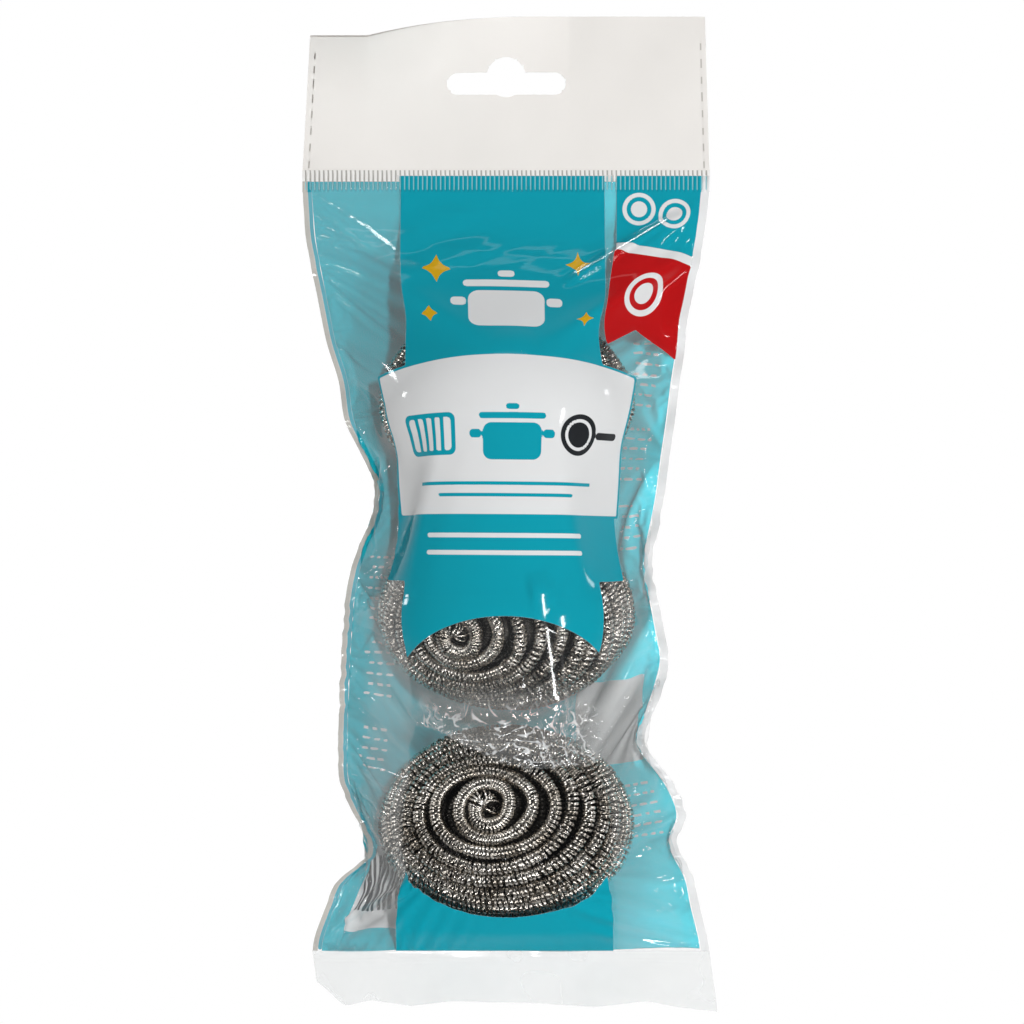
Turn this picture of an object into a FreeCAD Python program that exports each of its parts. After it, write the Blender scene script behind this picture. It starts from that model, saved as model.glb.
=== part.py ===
"""Hanging film pack with three spiral-wire pan scourers.

A white header with a wide hang slot is welded to a long clear bag. The bag holds three steel
scourers, one above the other, and ends in a seal and a loose film skirt. Millimetres, +Z up,
the front of the pack faces -Y, and the origin is the centre of the hang slot's round lobe.
"""
import FreeCAD, Part
import math
import os

# Scourers: one curled steel strand each, wound into a flattened ball that lies across the bag
scourer_names = ("top", "middle", "bottom")
scourer_width = 69.0
scourer_diameter = 52.5
scourer_gap = 3.0
strand_diameter = 3.3
strand_loops = 16
eye_radius = 8.0
core_clearance = 0.4
scourer_turn_deg = {"top": 24.0, "middle": -16.0, "bottom": 12.0}

# Film bag: two panels welded along their sides, drawn tight round the scourers and in between them
film_thickness = 0.3
film_clearance = 0.3
side_ease = 6.2
weld_width = 2.4
mouth_opening = 0.6
hug_height = 8.0
waist_pinch = 4.5
waist_sag = 2.6
shoulder_rise = 29.5
foot_drop = 7.6

# Ribbed weld between the bag and the header, plain weld at the foot, and the skirt below it
crimp_height = 5.4
rib_pitch = 1.25
rib_depth = 0.25
seal_height = 3.0
skirt_height = 11.5

# Header with its hang slot: a round-ended slot with a round lobe over its middle
header_height = 40.3
header_corner_radius = 1.0
lobe_below_top = 16.0
lobe_radius = 5.3
slot_width = 32.0
slot_height = 5.9
slot_below_lobe = 1.7

# Film folds: the clear strip left along each fold line
fold_gap = 0.7

# Resolution of the lofted shoulders, of the measuring points and of the searches
line_stations = 4
round_stations = 6
search_steps = 60
measure_step = 1.5

# Sizes that follow from the ones above
scourer_spacing = scourer_diameter + scourer_gap
half_width = scourer_width / 2
half_depth = scourer_diameter / 2
strand_radius = strand_diameter / 2
wound_half_width = half_width - strand_radius
wound_half_depth = half_depth - strand_radius
header_top_z = lobe_below_top
header_foot_z = header_top_z - header_height
crimp_top_z = header_foot_z - fold_gap
crimp_foot_z = crimp_top_z - crimp_height
top_scourer_z = crimp_foot_z - shoulder_rise - half_depth
scourer_z = {name: top_scourer_z - index * scourer_spacing for index, name in enumerate(scourer_names)}
bottom_scourer_z = scourer_z[scourer_names[-1]]
bag_foot_z = bottom_scourer_z - half_depth - foot_drop
seal_foot_z = bag_foot_z - seal_height
skirt_top_z = seal_foot_z - fold_gap


def vector(x, y, z):
    return FreeCAD.Vector(x, y, z)


def bisect(function, low, high):
    """The argument at which a rising function passes zero."""
    for _ in range(search_steps):
        middle = (low + high) / 2
        if function(middle) < 0:
            low = middle
        else:
            high = middle
    return (low + high) / 2


def arc_radius(half_chord, rise):
    return (half_chord ** 2 + rise ** 2) / (2 * rise)


def arc_length(half_chord, rise):
    return 4 * arc_radius(half_chord, rise) * math.atan(rise / half_chord)


def room_over_scourer(half_chord, rise):
    """Least distance from the scourer's middle section to a film arc over it."""
    radius = arc_radius(half_chord, rise)
    angles = [math.pi / 2 * step / search_steps for step in range(search_steps + 1)]
    return min(
        radius - math.hypot(half_width * math.cos(angle), radius - rise + half_depth * math.sin(angle))
        for angle in angles
    )


# The film's arc over the middle of a scourer, and the width of film that this arc takes
tight_half_chord = half_width + side_ease
tight_rise = bisect(
    lambda rise: room_over_scourer(tight_half_chord, rise) - film_clearance,
    half_depth,
    tight_half_chord,
)
film_arc_length = arc_length(tight_half_chord, tight_rise)
flat_width = film_arc_length + 2 * weld_width


def half_chord_for(rise):
    """Half the span of the film's fixed arc length when it is blown out by this rise."""
    return bisect(lambda half: arc_length(half, rise) - film_arc_length, rise, film_arc_length)


def panel_section(z, half_chord, rise):
    """Section of the front panel: a film arc with a flat weld margin at each side."""
    radius = arc_radius(half_chord, rise)
    margin_start = math.sqrt((radius + film_thickness) ** 2 - (radius - rise + film_thickness) ** 2)
    edge = margin_start + weld_width
    outer_y = -film_thickness
    outside = Part.Arc(
        vector(margin_start, outer_y, z),
        vector(0, outer_y - rise, z),
        vector(-margin_start, outer_y, z),
    )
    inside = Part.Arc(vector(-half_chord, 0, z), vector(0, -rise, z), vector(half_chord, 0, z))
    return Part.Wire([
        Part.makeLine(vector(edge, 0, z), vector(edge, outer_y, z)),
        Part.makeLine(vector(edge, outer_y, z), vector(margin_start, outer_y, z)),
        outside.toShape(),
        Part.makeLine(vector(-margin_start, outer_y, z), vector(-edge, outer_y, z)),
        Part.makeLine(vector(-edge, outer_y, z), vector(-edge, 0, z)),
        Part.makeLine(vector(-edge, 0, z), vector(-half_chord, 0, z)),
        inside.toShape(),
        Part.makeLine(vector(half_chord, 0, z), vector(edge, 0, z)),
    ])


def end_profile(reach):
    """Heights above a scourer's centre, with the film's rise there, from a flat end inwards.

    The film runs straight from the flat end to the scourer and then round it.
    """
    contact_angle = math.asin(tight_rise / reach)
    contact_height = tight_rise * math.sin(contact_angle)
    contact_rise = tight_rise * math.cos(contact_angle)
    profile = []
    for step in range(line_stations):
        share = step / line_stations
        height = reach + (contact_height - reach) * share
        profile.append((height, mouth_opening + (contact_rise - mouth_opening) * share))
    for step in range(round_stations + 1):
        angle = contact_angle * (1 - step / round_stations)
        profile.append((tight_rise * math.sin(angle), tight_rise * math.cos(angle)))
    return profile


def waist_profile(upper_z):
    """Heights, half spans and rises of the film from one scourer's middle to near the next one's."""
    lower_z = upper_z - scourer_spacing
    waist_z = (upper_z + lower_z) / 2
    return [
        (upper_z - hug_height, tight_half_chord, tight_rise),
        (waist_z, tight_half_chord - waist_pinch, tight_rise - waist_sag),
        (lower_z + hug_height, tight_half_chord, tight_rise),
    ]


def make_front_panel():
    shoulder = end_profile(shoulder_rise + half_depth)
    foot = end_profile(foot_drop + half_depth)
    stations = [(top_scourer_z + height, half_chord_for(rise), rise) for height, rise in shoulder]
    for name in scourer_names[:-1]:
        stations += waist_profile(scourer_z[name])
    stations += [(bottom_scourer_z - height, half_chord_for(rise), rise) for height, rise in reversed(foot)]
    return Part.makeLoft([panel_section(*station) for station in stations], True, True)


def make_leaf(top_z, foot_z):
    """One flat film leaf in front of the middle plane, as wide as the flat bag."""
    corner = vector(-flat_width / 2, -film_thickness, foot_z)
    return Part.makeBox(flat_width, film_thickness, top_z - foot_z, corner)


def make_slot_cutter():
    """The hang slot as a solid that passes through both leaves."""
    depth = 4 * film_thickness
    end_radius = slot_height / 2
    end_x = slot_width / 2 - end_radius
    slot_z = -slot_below_lobe
    through = vector(0, 1, 0)
    bar = Part.makeBox(2 * end_x, depth, slot_height, vector(-end_x, -depth / 2, slot_z - end_radius))
    left = Part.makeCylinder(end_radius, depth, vector(-end_x, -depth / 2, slot_z), through)
    right = Part.makeCylinder(end_radius, depth, vector(end_x, -depth / 2, slot_z), through)
    lobe = Part.makeCylinder(lobe_radius, depth, vector(0, -depth / 2, 0), through)
    below = Part.makeBox(
        2 * lobe_radius,
        depth,
        2 * lobe_radius,
        vector(-lobe_radius, -depth / 2, slot_z - 2 * lobe_radius),
    )
    return bar.fuse([left, right, lobe.cut(below)]).removeSplitter()


def make_header_leaf():
    leaf = make_leaf(header_top_z, header_foot_z)
    top_corners = [
        edge for edge in leaf.Edges
        if edge.BoundBox.YLength > film_thickness / 2 and edge.BoundBox.ZMin > header_top_z - film_thickness
        and edge.BoundBox.XLength < film_thickness / 2
    ]
    return leaf.makeFillet(header_corner_radius, top_corners).cut(make_slot_cutter())


def make_crimp():
    """Corrugated weld: a zigzag band of both films, with its ribs standing upright."""
    ribs = round(flat_width / rib_pitch)
    step = flat_width / (2 * ribs)
    ridge = [(index * step - flat_width / 2, rib_depth / 2 * (-1) ** index) for index in range(2 * ribs + 1)]
    front = [vector(x, y - film_thickness, crimp_foot_z) for x, y in ridge]
    back = [vector(x, y + film_thickness, crimp_foot_z) for x, y in reversed(ridge)]
    outline = Part.makePolygon(front + back + front[:1])
    return Part.Face(outline).extrude(vector(0, 0, crimp_height))


def mirrored(shape):
    """The same shape on the other side of the bag's middle plane."""
    return shape.mirror(vector(0, 0, 0), vector(0, 1, 0))


def strand_point(turns):
    """Point of the strand's middle line on the ball, counted in turns from the front eye."""
    eye_angle = eye_radius / wound_half_depth
    polar = eye_angle + (math.pi - 2 * eye_angle) * turns / strand_loops
    around = 2 * math.pi * turns
    return vector(
        wound_half_width * math.sin(polar) * math.cos(around),
        -wound_half_depth * math.cos(polar),
        wound_half_depth * math.sin(polar) * math.sin(around),
    )


def strand_direction(turns):
    nudge = 1 / 1000
    return (strand_point(turns + nudge) - strand_point(turns - nudge)).normalize()


def tangent_arc(start, direction, end):
    """Arc from start to end that leaves start in the given direction."""
    chord = end - start
    bend = direction.getAngle(chord)
    sideways = direction - chord * (direction.dot(chord) / chord.dot(chord))
    rise = chord.Length / 2 * math.tan(bend / 2)
    return Part.Arc(start, (start + end) / 2 + sideways.normalize() * rise, end)


def biarc(start, start_direction, end, end_direction):
    """Two tangent arcs of equal reach between two points with given directions."""
    chord = end - start
    both = start_direction + end_direction
    spread = 2 * (1 - start_direction.dot(end_direction))
    slope = chord.dot(both)
    reach = (math.sqrt(slope ** 2 + spread * chord.dot(chord)) - slope) / spread
    middle = (start + end + (start_direction - end_direction) * reach) / 2
    second = tangent_arc(end, -end_direction, middle)
    return [
        tangent_arc(start, start_direction, middle),
        Part.Arc(middle, second.value(second.parameter(end) / 2 + second.parameter(middle) / 2), end),
    ]


def make_strand_path():
    """Middle line of the strand: a straight end in each eye and loops from eye to eye."""
    down = vector(0, 0, -1)
    front_eye = vector(0, -wound_half_depth, 0)
    back_eye = vector(0, wound_half_depth, 0)
    quarters = [quarter / 4 for quarter in range(4 * strand_loops + 1)]
    knots = [(front_eye, down)]
    knots += [(strand_point(turns), strand_direction(turns)) for turns in quarters]
    knots += [(back_eye, down)]
    curves = [Part.LineSegment(front_eye - down * strand_diameter, front_eye)]
    for (start, start_direction), (end, end_direction) in zip(knots, knots[1:]):
        curves += biarc(start, start_direction, end, end_direction)
    curves += [Part.LineSegment(back_eye, back_eye + down * strand_diameter)]
    return Part.Wire([curve.toShape() for curve in curves])


def least_gap(path):
    """Least gap between the strand's surface and its own other turns, measured on points."""
    count = int(path.Length / measure_step)
    points = path.discretize(Number=count + 1)
    apart = math.ceil(math.pi * strand_diameter / measure_step)
    nearest = min(
        points[first].distanceToPoint(points[second])
        for first in range(len(points))
        for second in range(first + apart, len(points))
    )
    return nearest - strand_diameter


def make_winding(path):
    start = path.Edges[0].firstVertex().Point
    section = Part.Wire([Part.Circle(start, vector(0, 0, 1), strand_radius).toShape()])
    return path.makePipeShell([section], True, False)


def make_core():
    """Plain body of the inner layers: an egg of revolution about the scourer's long axis."""
    long_radius = half_width - strand_diameter - core_clearance
    short_radius = half_depth - strand_diameter - core_clearance
    ellipse = Part.Ellipse(vector(0, 0, 0), long_radius, short_radius)
    rim = Part.ArcOfEllipse(ellipse, 0, math.pi).toShape()
    axis = Part.makeLine(vector(-long_radius, 0, 0), vector(long_radius, 0, 0))
    face = Part.Face(Part.Wire([rim, axis]))
    return face.revolve(vector(0, 0, 0), vector(1, 0, 0), 360)


def placed(shape, turn_deg, z):
    """A copy turned about the scourer's long axis and lowered to its place in the bag."""
    copy = shape.copy()
    copy.rotate(vector(0, 0, 0), vector(1, 0, 0), turn_deg)
    copy.translate(vector(0, 0, z))
    return copy


nodes = {}

# Header
header_leaf = make_header_leaf()
nodes["header_front_leaf"] = header_leaf
nodes["header_back_leaf"] = mirrored(header_leaf)

# Bag
front_panel = make_front_panel()
seal_corner = vector(-flat_width / 2, -film_thickness, seal_foot_z)
nodes["top_crimp_seal"] = make_crimp()
nodes["front_film"] = front_panel
nodes["back_film"] = mirrored(front_panel)
nodes["bottom_seal"] = Part.makeBox(flat_width, 2 * film_thickness, seal_height, seal_corner)

# Skirt
skirt_leaf = make_leaf(skirt_top_z, skirt_top_z - skirt_height)
nodes["skirt_front_leaf"] = skirt_leaf
nodes["skirt_back_leaf"] = mirrored(skirt_leaf)

# Scourers
strand_path = make_strand_path()
winding = make_winding(strand_path)
core = make_core()
for name in scourer_names:
    nodes[name + "_scourer_winding"] = placed(winding, scourer_turn_deg[name], scourer_z[name])
    nodes[name + "_scourer_core"] = placed(core, scourer_turn_deg[name], scourer_z[name])

os.makedirs("parts", exist_ok=True)
for name, shape in nodes.items():
    shape.exportStep("parts/" + name + ".step")
    print(name, "valid", shape.isValid(), "solids", len(shape.Solids), "volume", round(shape.Volume, 1))

print("flat width", round(flat_width, 2), "film rise", round(tight_rise, 2))
print("header foot", round(header_foot_z, 2), "crimp foot", round(crimp_foot_z, 2))
print("scourers at", {name: round(z, 2) for name, z in scourer_z.items()})
print("bag foot", round(bag_foot_z, 2), "skirt foot", round(skirt_top_z - skirt_height, 2))
print("strand length", round(strand_path.Length), "mm")
print("strand volume by length", round(strand_path.Length * math.pi * strand_radius ** 2, 1))
print("least gap between strand turns", round(least_gap(strand_path), 3), "mm")
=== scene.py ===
import math

import bpy
import numpy as np
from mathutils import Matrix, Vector


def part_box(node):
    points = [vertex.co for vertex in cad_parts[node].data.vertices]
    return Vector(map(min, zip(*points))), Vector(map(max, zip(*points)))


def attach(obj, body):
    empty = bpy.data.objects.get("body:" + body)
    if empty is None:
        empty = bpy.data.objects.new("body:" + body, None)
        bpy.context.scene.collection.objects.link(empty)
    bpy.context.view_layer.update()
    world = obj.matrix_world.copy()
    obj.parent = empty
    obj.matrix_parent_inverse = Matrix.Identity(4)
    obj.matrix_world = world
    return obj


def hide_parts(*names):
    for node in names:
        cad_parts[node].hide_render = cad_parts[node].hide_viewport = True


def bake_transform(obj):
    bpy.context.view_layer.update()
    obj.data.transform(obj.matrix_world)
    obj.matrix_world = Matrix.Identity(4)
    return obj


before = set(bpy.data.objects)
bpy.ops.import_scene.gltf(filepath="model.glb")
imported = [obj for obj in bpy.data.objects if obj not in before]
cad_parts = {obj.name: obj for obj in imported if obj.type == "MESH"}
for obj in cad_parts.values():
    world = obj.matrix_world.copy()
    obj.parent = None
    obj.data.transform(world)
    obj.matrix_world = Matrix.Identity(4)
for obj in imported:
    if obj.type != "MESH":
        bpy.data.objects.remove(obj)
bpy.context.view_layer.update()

scene = bpy.context.scene


# Camera
# The pack hangs level and is seen straight from the front through a long lens.
view_centre = Vector((0.0016, 0.0, -0.115))
view_distance = 1.8
view_width = 0.2708
camera_data = bpy.data.cameras.new("camera")
camera_data.lens = camera_data.sensor_width * view_distance / view_width
camera = bpy.data.objects.new("camera", camera_data)
camera.location = view_centre - Vector((0.0, view_distance, 0.0))
camera.rotation_euler = (math.pi / 2, 0.0, 0.0)
scene.collection.objects.link(camera)
scene.camera = camera


# Studio
# A white sweep behind the pack and a dim room in front of it, with a key lamp on each side. Small
# lamps draw the streaks on the film, wider ones light only the steel. A pale floor lies far below.
scene.view_settings.view_transform = "Standard"
room_light = 0.24
room_front_tone = 0.03
room_wall_tone = 0.05
room_low_share = 0.35
floor_height = -0.75
floor_radius = 6.0
floor_sides = 96
floor_roughness = 0.8
floor_colour = (0.88, 0.88, 0.87, 1.0)
floor_white_share = 0.55


def new_node(tree, kind, **settings):
    node = tree.nodes.new("ShaderNode" + kind)
    for name, value in settings.items():
        setattr(node, name, value)
    return node


def math_node(tree, operation, first, second=0.0, clamp=False):
    node = new_node(tree, "Math", operation=operation, use_clamp=clamp)
    for socket, value in zip(node.inputs, (first, second)):
        if isinstance(value, bpy.types.NodeSocket):
            tree.links.new(value, socket)
        else:
            socket.default_value = value
    return node.outputs[0]


def mirrored_tone(tree, direction):
    """What metal and film mirror: white behind the pack, grey walls, dark where the camera is."""
    parts = new_node(tree, "SeparateXYZ")
    tree.links.new(direction, parts.inputs[0])
    tones = []
    for axis, start, end, from_tone, to_tone in (
        ("Y", -0.97, -0.78, room_front_tone, room_wall_tone),
        ("Z", -0.55, 0.15, room_low_share, 1.0),
        ("Y", -0.35, 0.6, 0.0, 1.0 - room_wall_tone),
    ):
        ramp = new_node(tree, "MapRange", interpolation_type="SMOOTHSTEP")
        tree.links.new(parts.outputs[axis], ramp.inputs["Value"])
        ramp.inputs["From Min"].default_value = start
        ramp.inputs["From Max"].default_value = end
        ramp.inputs["To Min"].default_value = from_tone
        ramp.inputs["To Max"].default_value = to_tone
        tones.append(ramp.outputs["Result"])
    walls, low_shade, behind = tones
    return math_node(tree, "ADD", math_node(tree, "MULTIPLY", walls, low_shade), behind)


world = bpy.data.worlds.new("studio")
scene.world = world
world.use_nodes = True
sky = world.node_tree
sky.nodes.clear()
path = new_node(sky, "LightPath")
seen = math_node(sky, "MAXIMUM", path.outputs["Is Camera Ray"], path.outputs["Is Transmission Ray"])
shown = math_node(sky, "MAXIMUM", seen, path.outputs["Is Glossy Ray"])
tone = mirrored_tone(sky, new_node(sky, "TexCoord").outputs["Generated"])
room = new_node(sky, "Background")
room.inputs["Strength"].default_value = room_light
backdrop = new_node(sky, "Background")
sky.links.new(math_node(sky, "MAXIMUM", seen, tone), backdrop.inputs["Color"])
sky_mix = new_node(sky, "MixShader")
sky.links.new(shown, sky_mix.inputs["Fac"])
sky.links.new(room.outputs[0], sky_mix.inputs[1])
sky.links.new(backdrop.outputs[0], sky_mix.inputs[2])
sky.links.new(sky_mix.outputs[0], new_node(sky, "OutputWorld").inputs["Surface"])

steel_lit = bpy.data.collections.new("steel_lit")
for name, place, watts, width, height, mirrored, lights_only in (
    ("front_key", (0.34, -1.72, 0.15), 15.9, 0.09, 0.09, False, None),
    ("rear_key", (-0.55, 1.60, 0.20), 12.0, 0.30, 0.30, False, None),
    ("right_strip", (0.90, -1.05, -0.38), 1.5, 0.05, 0.30, True, None),
    ("over_panel", (0.05, -0.70, 0.98), 0.14, 0.42, 0.10, True, None),
    ("over_lamp", (-0.37, 0.03, 1.09), 1.8, 0.11, 0.11, True, None),
    ("high_right_lamp", (0.63, -0.40, 0.95), 1.6, 0.10, 0.10, True, None),
    ("right_lamp", (1.28, -0.12, 0.15), 0.3, 0.10, 0.10, True, None),
    ("left_lamp", (-1.28, -0.12, 0.10), 0.6, 0.10, 0.10, True, None),
    ("low_right_lamp", (0.28, -0.52, -0.65), 0.4, 0.07, 0.07, True, None),
    ("low_left_lamp", (-0.32, -0.50, -0.65), 0.4, 0.07, 0.07, True, None),
    ("far_low_lamp", (0.55, -0.30, -0.66), 0.4, 0.07, 0.07, True, None),
    ("near_low_lamp", (-0.05, -0.80, -0.66), 0.3, 0.06, 0.06, True, None),
    ("steel_over_lamp", (-0.15, -0.75, 0.95), 3.0, 0.45, 0.40, True, steel_lit),
    ("steel_right_lamp", (1.00, -0.75, 0.30), 3.0, 0.40, 0.45, True, steel_lit),
    ("steel_left_lamp", (-0.95, -0.85, 0.15), 3.0, 0.40, 0.45, True, steel_lit),
    ("steel_low_lamp", (0.15, -0.95, -0.60), 2.0, 0.45, 0.40, True, steel_lit),
):
    lamp_data = bpy.data.lights.new(name, "AREA")
    lamp_data.shape = "RECTANGLE"
    lamp_data.size = width
    lamp_data.size_y = height
    lamp_data.energy = watts
    lamp = bpy.data.objects.new(name, lamp_data)
    lamp.location = place
    lamp.rotation_euler = (view_centre - lamp.location).to_track_quat("-Z", "Y").to_euler()
    lamp.visible_camera = False
    lamp.visible_glossy = mirrored
    lamp.light_linking.receiver_collection = lights_only
    scene.collection.objects.link(lamp)

floor_mesh = bpy.data.meshes.new("floor")
floor_turns = [2 * math.pi * step / floor_sides for step in range(floor_sides)]
floor_points = [(floor_radius * math.cos(turn), floor_radius * math.sin(turn), floor_height)
                for turn in floor_turns]
floor_mesh.from_pydata(floor_points, [], [range(len(floor_points))])
floor = bpy.data.objects.new("floor", floor_mesh)
scene.collection.objects.link(floor)
floor_paint = bpy.data.materials.new("floor_paint")
floor_paint.use_nodes = True
tree = floor_paint.node_tree
paint = tree.nodes["Principled BSDF"]
paint.inputs["Base Color"].default_value = floor_colour
paint.inputs["Roughness"].default_value = floor_roughness
floor_path = new_node(tree, "LightPath")
floor_seen = math_node(tree, "MAXIMUM", floor_path.outputs["Is Camera Ray"],
                       floor_path.outputs["Is Transmission Ray"])
from_pack = new_node(tree, "VectorMath", operation="SUBTRACT")
tree.links.new(new_node(tree, "NewGeometry").outputs["Position"], from_pack.inputs[0])
from_pack.inputs[1].default_value = view_centre
floor_direction = new_node(tree, "VectorMath", operation="NORMALIZE")
tree.links.new(from_pack.outputs[0], floor_direction.inputs[0])
white = new_node(tree, "Emission")
mirror = new_node(tree, "Emission")
tree.links.new(mirrored_tone(tree, floor_direction.outputs[0]), mirror.inputs["Color"])
floor_surface = paint.outputs[0]
for share, glow in ((math_node(tree, "MULTIPLY", floor_seen, floor_white_share), white),
                    (floor_path.outputs["Is Glossy Ray"], mirror)):
    floor_mix = new_node(tree, "MixShader")
    tree.links.new(share, floor_mix.inputs["Fac"])
    tree.links.new(floor_surface, floor_mix.inputs[1])
    tree.links.new(glow.outputs[0], floor_mix.inputs[2])
    floor_surface = floor_mix.outputs[0]
tree.links.new(floor_surface, tree.nodes["Material Output"].inputs["Surface"])
floor_mesh.materials.append(floor_paint)


# Scourers
# Each scourer is one flat stainless ribbon, curled into a springy strand that is wound from eye to
# eye into a flattened ball, over more layers of itself. Nothing else holds it. The inner layers and
# a closed shell under them are near-black steel: painted shade in the depth of the ball.
MM = 0.001
strand_radius = 2.0
strand_loops = 18
steps_per_loop = 360
loop_stray = 0.024
loop_jitter = 0.010
loop_sink = 0.022
strand_room = 1.04
strand_size = 0.90
eye_swell = 0.32
ribbon_width = 0.74
ribbon_share = 0.80
ribbon_bow = 0.08
close_pitch = 0.62
open_pitch = 1.28
facets_per_curl = 12
eye_turn = 0.04
eye_reach = 0.3
eye_squeeze = 0.30
inner_depth = 3.4
inner_loops = 13
inner_facets = 7
shade_depth = 7.0
shade_rings = 24
shade_sides = 48
scourer_seed = 40
eye_leans = {"top": (0.12, 0.42), "middle": (-0.42, -0.26), "bottom": (-0.15, 0.21)}
steel_bright = (0.80, 0.765, 0.71, 1.0)
steel_warm = (0.38, 0.335, 0.28, 1.0)
steel_deep_shade = (0.015, 0.014, 0.013, 1.0)
steel_shade = (0.06, 0.056, 0.05, 1.0)
stain_fineness = 150.0
strand_polish = (0.16, 0.34)
inner_polish = (0.25, 0.5)


def wander(rng, along, wavelength, waves=7):
    """A smooth random line along a strand, mostly between -1 and 1."""
    total = np.zeros_like(along)
    for _ in range(waves):
        total += np.sin(2 * math.pi * (along / (wavelength * rng.uniform(0.5, 2.0)) + rng.random()))
    return total / math.sqrt(2 * waves)


def wound_ribbon(rng, half, lean, loops, radius, facets):
    """Points and faces of a ribbon curled round a line that winds over an ellipsoid, in mm."""
    share = np.linspace(0.0, 1.0, loops * steps_per_loop)
    turns = share * loops
    stray = loop_stray * wander(rng, turns, 0.9) + loop_jitter * wander(rng, turns, 0.25)
    polar = eye_turn + (math.pi - 2 * eye_turn) * share + stray
    around = 2 * math.pi * turns
    unit = np.stack([np.sin(polar) * np.cos(around), -np.cos(polar), np.sin(polar) * np.sin(around)],
                    axis=1)
    squeeze = eye_squeeze * np.exp(-(polar / eye_reach) ** 2)
    unit *= np.stack([1 - squeeze, np.ones_like(squeeze), 1 + squeeze / 3], axis=1)
    sideways, upwards = lean
    turn_z = np.array([[math.cos(sideways), -math.sin(sideways), 0],
                       [math.sin(sideways), math.cos(sideways), 0], [0, 0, 1]])
    turn_x = np.array([[1, 0, 0], [0, math.cos(upwards), math.sin(upwards)],
                       [0, -math.sin(upwards), math.cos(upwards)]])
    unit = unit @ (turn_x @ turn_z).T
    sunk = np.maximum(loop_sink * (0.5 + wander(rng, turns, 0.45)), 0.0)
    line = unit * (np.array(half) - strand_room * radius) * (1.0 - sunk)[:, None]
    steps = np.linalg.norm(np.diff(line, axis=0), axis=1)
    length = np.concatenate([[0.0], np.cumsum(steps)])

    from_eye = np.clip(4 * np.minimum(share, 1 - share), 0, 1)
    pitch = close_pitch + (open_pitch - close_pitch) * from_eye ** 2 * (3 - 2 * from_eye)
    pitch = pitch * np.exp(0.16 * wander(rng, length, 15.0) + 0.10 * wander(rng, length, 4.0))
    curls = np.concatenate([[0.0], np.cumsum(steps / pitch[1:])])
    curl = np.arange(0.0, curls[-1], 1.0 / facets)
    along = np.interp(curl, curls, length)
    centre = np.stack([np.interp(along, length, line[:, axis]) for axis in range(3)], axis=1)
    tangent = np.gradient(centre, axis=0)
    tangent /= np.linalg.norm(tangent, axis=1)[:, None]
    outward = centre / np.array(half) ** 2
    outward -= tangent * (outward * tangent).sum(axis=1)[:, None]
    outward /= np.linalg.norm(outward, axis=1)[:, None]
    across = np.cross(tangent, outward)
    size = strand_size + eye_swell * np.interp(along, length, np.exp(-(5.0 * from_eye) ** 2))
    size = radius * (size + 0.05 * wander(rng, along, 9.0) + 0.02 * wander(rng, along, 2.2))
    slack = np.interp(along, length, from_eye)
    tilt = (0.10 + 0.14 * slack) * wander(rng, along, 2.6)
    slant = 0.2 * slack * (wander(rng, along, 6.0) * np.cos(2 * math.pi * curl)
                           + wander(rng, along, 6.0) * np.sin(2 * math.pi * curl))
    width = np.minimum(ribbon_width, ribbon_share * np.interp(along, length, pitch))
    angle = 2 * math.pi * curl
    spoke = np.cos(angle)[:, None] * outward + np.sin(angle)[:, None] * across
    side = (np.cos(tilt)[:, None] * tangent + np.sin(tilt)[:, None] * spoke) * (width / 2)[:, None]
    middle = centre + spoke * size[:, None] + tangent * (slant * size)[:, None]
    rails = [middle - side, middle + spoke * ribbon_bow, middle + side]
    points = np.stack(rails, axis=1).reshape(-1, 3)
    first = 3 * np.arange(len(along) - 1)[:, None]
    faces = np.concatenate([first + [0, 1, 4, 3], first + [1, 2, 5, 4]])
    return points, faces


def mesh_piece(name, points, faces, material):
    """A smooth-shaded object from points in mm."""
    mesh = bpy.data.meshes.new(name)
    mesh.from_pydata((np.asarray(points) * MM).tolist(), [], np.asarray(faces).tolist())
    mesh.shade_smooth()
    mesh.materials.append(material)
    piece = bpy.data.objects.new(name, mesh)
    scene.collection.objects.link(piece)
    return piece


steel_stain = bpy.data.node_groups.new("steel_stain", "ShaderNodeTree")
steel_stain.interface.new_socket("Fineness", in_out="INPUT", socket_type="NodeSocketFloat")
steel_stain.interface.new_socket("Stain", in_out="OUTPUT", socket_type="NodeSocketFloat")
steel_stain.interface.new_socket("Polish", in_out="OUTPUT", socket_type="NodeSocketFloat")
stain_in = steel_stain.nodes.new("NodeGroupInput")
stain_out = steel_stain.nodes.new("NodeGroupOutput")
stain_place = new_node(steel_stain, "TexCoord")
for output, share in (("Stain", 1.0), ("Polish", 7.0)):
    noise = new_node(steel_stain, "TexNoise")
    steel_stain.links.new(stain_place.outputs["Object"], noise.inputs["Vector"])
    steel_stain.links.new(math_node(steel_stain, "MULTIPLY", stain_in.outputs["Fineness"], share),
                          noise.inputs["Scale"])
    noise.inputs["Detail"].default_value = 2.0
    spread = new_node(steel_stain, "MapRange")
    spread.inputs["From Min"].default_value = 0.32
    spread.inputs["From Max"].default_value = 0.68
    steel_stain.links.new(noise.outputs["Fac"], spread.inputs["Value"])
    steel_stain.links.new(spread.outputs["Result"], stain_out.inputs[output])


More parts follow.
